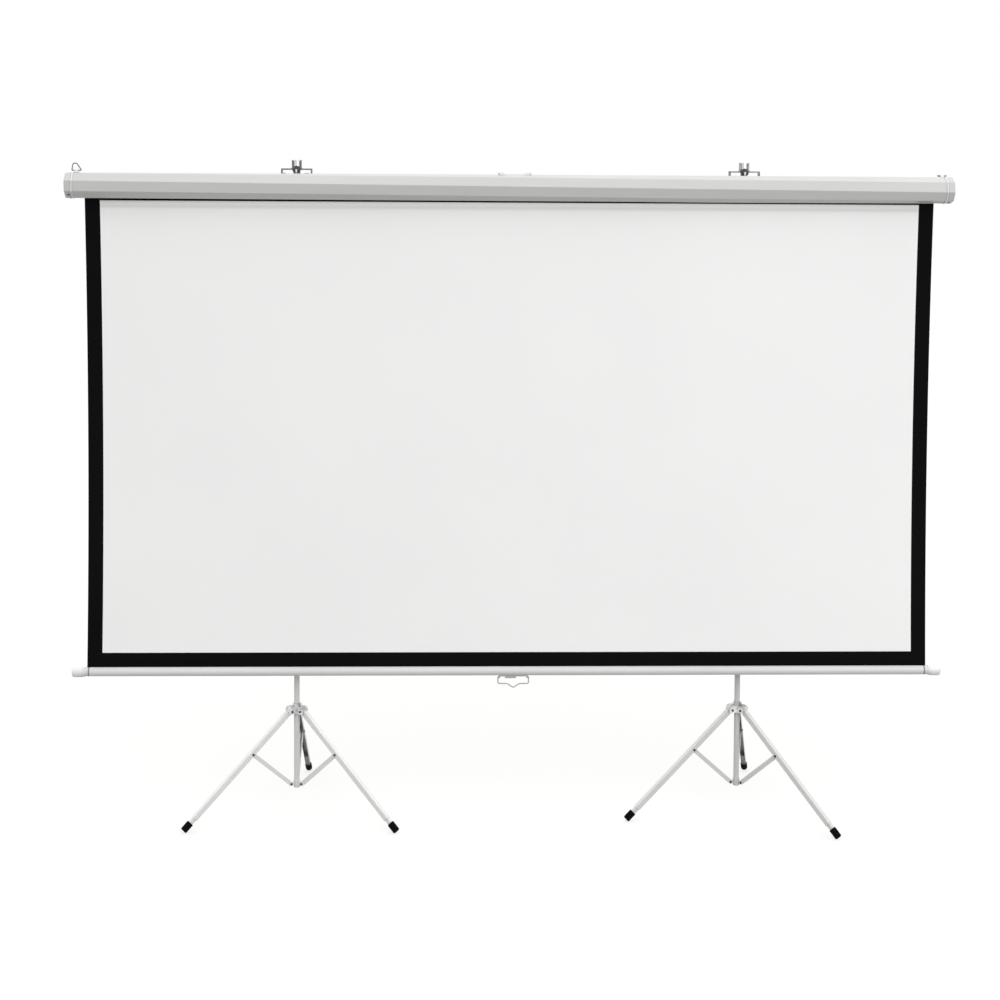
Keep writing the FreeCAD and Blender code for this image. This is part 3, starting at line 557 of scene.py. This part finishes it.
# Bottom border: the black printed strip above the bar, which goes up and down with it.
# It is the same cloth, held in the bar's slot by a rod in its hem.
hem_rows = 7
hem_heights = np.concatenate([[border_top], np.linspace(border_top - seam_row, cloth_low[2], hem_rows)])
hem_border = cloth_slab("hem_border", hem_heights, len(hem_heights),
                        [printed_black, printed_black, backing_black])
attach(hem_border, "bar")


# Turns on the roller: the last turns of the same white cloth, which stay wound when the screen is down.
# They lie on each other round the aluminium tube, and their own grip keeps the cloth from slipping off.
wound_low, wound_high = np.array(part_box("fabric_wraps"))
wound_centre = (wound_low + wound_high) / 2
wound_outer = (wound_high[2] - wound_low[2]) / 2
wound_turns = 2
points_per_turn = 60


def wound_cloth(name):
    """Spiral strip along the roller.

    The angle runs over the turns while the radius grows by one thickness a turn, and the strip
    spans the roller's length; an inner copy half a thickness smaller closes it.
    """
    angle = np.linspace(0, 2 * np.pi * wound_turns, points_per_turn * wound_turns + 1)
    radius = wound_outer - cloth_thickness * (wound_turns - angle / (2 * np.pi))
    skins = []
    for depth in (0, cloth_thickness / 2):
        r = (radius - depth)[:, None]
        ends = np.array([wound_low[0], wound_high[0]])[None, :]
        y = wound_centre[1] + r * np.cos(angle)[:, None]
        z = wound_centre[2] + r * np.sin(angle)[:, None]
        skins.append(np.stack([ends + 0 * r, y + 0 * ends, z + 0 * ends], -1).reshape(-1, 3))
    grid = np.arange(2 * len(angle)).reshape(-1, 2)
    count = grid.size
    outer = np.stack([grid[:-1, 0], grid[:-1, 1], grid[1:, 1], grid[1:, 0]], -1)
    rim = np.concatenate([grid[:, 0], grid[::-1, 1]])
    ahead = np.roll(rim, -1)
    rim_faces = np.stack([rim, ahead, ahead + count, rim + count], -1)
    faces = np.vstack([outer, outer[:, ::-1] + count, rim_faces])
    return sheet_of(name, np.vstack(skins), faces, [matte_white])


roller_turns = wound_cloth("roller_turns")
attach(roller_turns, "roller")
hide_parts("fabric_wraps")


# Bottom bar: white painted aluminium tube that weighs the cloth down and takes its hem in a slot.
# A glossy domed plug is pressed into each end, and a fine dark line at each joint is painted shade for the
# gap.
plug_shade_half = 0.002
plug_shade_grey = (0.22, 0.22, 0.22)
bar_paint = coat("bar_paint", dark=(0.65, 0.65, 0.645), light=(0.70, 0.70, 0.695), rough=(0.3, 0.4),
                 peel_size=0.0012, peel=0.000015, streak=(0.15, 1.0, 1.0))
for joint_x in (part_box("bar_cap_left")[1][0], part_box("bar_cap_right")[0][0]):
    # Painted shade: a narrow dark grey band where each plug meets the tube.
    plug_shade = inside_box(bar_paint, (joint_x, 0, 0), X=(-plug_shade_half, plug_shade_half))
    stain(bar_paint, plug_shade, plug_shade_grey)
dress(bar_paint, "bottom_bar")
plug_gloss = coat("plug_gloss", dark=(0.79, 0.79, 0.785), light=(0.84, 0.84, 0.835), rough=(0.15, 0.25),
                  peel_size=0.002, peel=0.00001)
dress(plug_gloss, "bar_cap_left", "bar_cap_right")


# Pull handle: coated wire bail that swings in a pressed clip under the bar.
# The wire and the clip share one grey coat, and the clip stays in the bar's shade.
handle_coat = coat("handle_coat", dark=(0.38, 0.38, 0.375), light=(0.47, 0.47, 0.465), rough=(0.3, 0.42),
                   peel_size=0.0008, peel=0.00001)
dress(handle_coat, "handle_clip", "pull_handle")


# Masts: chromed inner tubes that slide in the posts and carry the hook brackets.
# They are drawn smooth and polished along their length, with wiped smudges at the top.
mast_plate = coat("mast_plate", dark=(0.60, 0.60, 0.61), light=(0.86, 0.86, 0.87), rough=(0.10, 0.26),
                  peel_size=0.0008, peel=0.00001, metallic=1.0, streak=(1.0, 1.0, 0.1))
dress(mast_plate, "mast_left", "mast_right")


# Tripod stands: painted steel posts with legs and braces folded from sheet, riveted to a bright cast hub
# that slides on the post and to a spider at its foot. The insides, the insert undersides and the open
# edges of the leg channels are darkened as painted shade, and the clamps and feet are black.
stand_turns = {"left": -1.0, "right": -14.0}
# Painted shade: every paint of the right stand is darkened by this factor.
stand_shade_tones = {"left": 1.0, "right": 0.86}
stand_finish = {"rough": (0.3, 0.42), "peel_size": 0.0012, "peel": 0.000015}
post_tones = np.array([(0.66, 0.66, 0.655), (0.72, 0.72, 0.715)])
brace_tones = np.array([(0.72, 0.72, 0.715), (0.77, 0.77, 0.765)])
leg_tones = np.array([(0.74, 0.74, 0.735), (0.79, 0.79, 0.785)])
channel_painted_shade = (0.24, 0.24, 0.222)
edge_painted_shade = (0.14, 0.14, 0.13)
hub_cast = coat("hub_cast", dark=(0.24, 0.24, 0.245), light=(0.86, 0.86, 0.87), rough=(0.14, 0.3),
                peel_size=0.03, peel=0.00006, metallic=1.0, streak=(3.0, 3.0, 3.0))
rivet_dark = coat("rivet_dark", dark=(0.02, 0.02, 0.02), light=(0.06, 0.06, 0.06), rough=(0.3, 0.45),
                  peel_size=0.0005, peel=0.00002, metallic=0.5)
clamp_plastic = coat("clamp_plastic", dark=(0.012, 0.012, 0.012), light=(0.025, 0.025, 0.025),
                     rough=(0.4, 0.55), peel_size=0.0008, peel=0.00003)
foot_rubber = coat("foot_rubber", dark=(0.003, 0.003, 0.003), light=(0.007, 0.007, 0.007),
                   rough=(0.55, 0.75), peel_size=0.0009, peel=0.00004, gloss=0.03)
hub_pivot_height = 0.007
leg_angles = {"rear": 90.0, "right": -30.0, "left": 210.0}
leg_slope = math.radians(42.0)
leg_pivot_radius = 0.018
leg_half_width = 0.0068
leg_inside = 0.0057
leg_web = 0.0084
leg_channel_end = 0.375
leg_insert_bottom = -0.002
leg_open_edge = -0.0037
brace_joint = 0.152
rivet_profile = np.array([(0.0001, 0.0018), (0.0014, 0.00175), (0.0026, 0.0015), (0.0033, 0.001),
                          (0.0035, 0.0004), (0.0035, -0.0004)])
for side, stand_turn in stand_turns.items():
    stand = side + "_stand"
    stand_shade = stand_shade_tones[side]
    post_low, post_high = np.array(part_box(stand + "_post"))
    post_x, post_y = (post_low[:2] + post_high[:2]) / 2
    pivot_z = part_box(stand + "_hub")[0][2] + hub_pivot_height
    post_paint = coat("post_paint_" + side, *(stand_shade * post_tones), **stand_finish)
    brace_paint = coat("brace_paint_" + side, *(stand_shade * brace_tones), **stand_finish)
    dress(post_paint, stand + "_post", stand + "_spider")
    dress(hub_cast, stand + "_hub")
    dress(rivet_dark, stand + "_hub_pins", stand + "_spider_pins")
    dress(clamp_plastic, stand + "_collar", stand + "_knob")
    for place, leg_angle in leg_angles.items():
        azimuth = math.radians(leg_angle + stand_turn)
        away = np.array([math.cos(azimuth), math.sin(azimuth), 0.0])
        sideways = np.array([-math.sin(azimuth), math.cos(azimuth), 0.0])
        pivot = np.array([post_x, post_y, pivot_z]) + leg_pivot_radius * away
        leg_turn = (0, leg_slope, azimuth)
        leg_paint = coat("leg_paint_" + side + "_" + place, *(stand_shade * leg_tones), **stand_finish)
        # Painted shade: the channel's inside, the insert's underside and the open edges of each leg go dark
        # grey.
        channel = inside_box(leg_paint, pivot, leg_turn, X=(None, leg_channel_end),
                             Y=(-leg_inside, leg_inside), Z=(None, leg_web))
        underside = inside_box(leg_paint, pivot, leg_turn, X=(leg_channel_end, None),
                               Z=(None, leg_insert_bottom))
        edges = inside_box(leg_paint, pivot, leg_turn, Z=(None, leg_open_edge))
        stain(leg_paint, channel, channel_painted_shade)
        stain(leg_paint, underside, edge_painted_shade)
        stain(leg_paint, edges, edge_painted_shade)
        dress(leg_paint, stand + "_leg_" + place)
        dress(brace_paint, stand + "_brace_" + place)
        dress(foot_rubber, stand + "_foot_" + place)
        joint = pivot + brace_joint * (math.cos(leg_slope) * away - np.array([0, 0, math.sin(leg_slope)]))
        heads = [turned_head(joint + way * leg_half_width * sideways, way * sideways, rivet_profile)
                 for way in (-1, 1)]
        rivet = piece_of(side + "_brace_rivet_" + place, heads, rivet_dark, smooth=True)
        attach(rivet, side + "_leg_" + place)


# Floor: a wide pale sweep of paper that keeps a faint shadow.
# It is lifted to white where the lens or a gloss sees it.
floor_half = 40.0
floor_colour = (0.25, 0.247, 0.236, 1.0)
floor_whitening = 0.72
plain_white = (1.0, 1.0, 1.0, 1.0)


def lens_sees(tree):
    """Share of a ray that comes from the lens, a gloss or a clear surface: the largest of the three."""
    path = add_node(tree, "LightPath").outputs
    either = figured(tree, "MAXIMUM", path["Is Camera Ray"], path["Is Glossy Ray"])
    return figured(tree, "MAXIMUM", either, path["Is Transmission Ray"])


floor_paper = bpy.data.materials.new("floor_paper")
floor_paper.use_nodes = True
floor_tree = floor_paper.node_tree
floor_tree.nodes.clear()
floor_matte = add_node(floor_tree, "BsdfDiffuse", {"Color": floor_colour})
floor_lift = figured(floor_tree, "MULTIPLY", lens_sees(floor_tree), floor_whitening)
floor_glow = add_node(floor_tree, "Emission", {"Color": plain_white, "Strength": floor_lift})
floor_sum = add_node(floor_tree, "AddShader", {0: floor_matte.outputs["BSDF"],
                                               1: floor_glow.outputs["Emission"]})
add_node(floor_tree, "OutputMaterial", {"Surface": floor_sum.outputs["Shader"]})
floor_mesh = bpy.data.meshes.new("floor")
floor_mesh.from_pydata([(-floor_half, -floor_half, 0), (floor_half, -floor_half, 0),
                        (floor_half, floor_half, 0), (-floor_half, floor_half, 0)], [], [(0, 1, 2, 3)])
floor_mesh.materials.append(floor_paper)
floor = bpy.data.objects.new("floor", floor_mesh)
bpy.context.collection.objects.link(floor)


# Light: a soft dome that is stronger from above.
# One broad lamp stands far off in front, a little to the right.
sky_below = 0.14
sky_above = 1.54
world = bpy.data.worlds.new("studio")
bpy.context.scene.world = world
world.use_nodes = True
sky_tree = world.node_tree
sky_tree.nodes.clear()
sky_way = add_node(sky_tree, "TexCoord").outputs["Generated"]
sky_axes = add_node(sky_tree, "SeparateXYZ", {"Vector": sky_way})
sky_level = add_node(sky_tree, "MapRange", {"Value": sky_axes.outputs["Z"], "From Min": -1.0,
                                            "From Max": 1.0, "To Min": sky_below, "To Max": sky_above})
sky_pick = add_node(sky_tree, "Mix", {0: lens_sees(sky_tree), 2: sky_level.outputs["Result"], 3: 1.0})
sky = add_node(sky_tree, "Background", {"Color": plain_white, "Strength": sky_pick.outputs[0]})
add_node(sky_tree, "OutputWorld", {"Surface": sky.outputs["Background"]})

key = bpy.data.lights.new("key", "AREA")
key.shape = "RECTANGLE"
key.size = 4.0
key.size_y = 3.0
key.energy = 70.0
key_lamp = bpy.data.objects.new("key", key)
key_lamp.location = (3.0, -5.2, 2.8)
key_lamp.rotation_euler = (math.radians(75), 0, math.radians(29))
bpy.context.collection.objects.link(key_lamp)


# Camera: level with the case and a little left of the middle, dipped by three degrees and swung by two.
# Its frame is shifted down to take in the feet.
camera_dip = 2.8155
camera_roll = -0.3444
camera_swing = -1.6424
lens = bpy.data.cameras.new("lens")
lens.sensor_width = 36.0
lens.lens = 60.29
lens.shift_y = -0.2263
camera = bpy.data.objects.new("camera", lens)
camera.location = (-0.1629, -4.6205, 1.7153)
camera.rotation_euler = (math.radians(90 - camera_dip), math.radians(camera_roll),
                         math.radians(camera_swing))
bpy.context.collection.objects.link(camera)
bpy.context.scene.camera = camera
bpy.context.scene.view_settings.view_transform = "Standard"
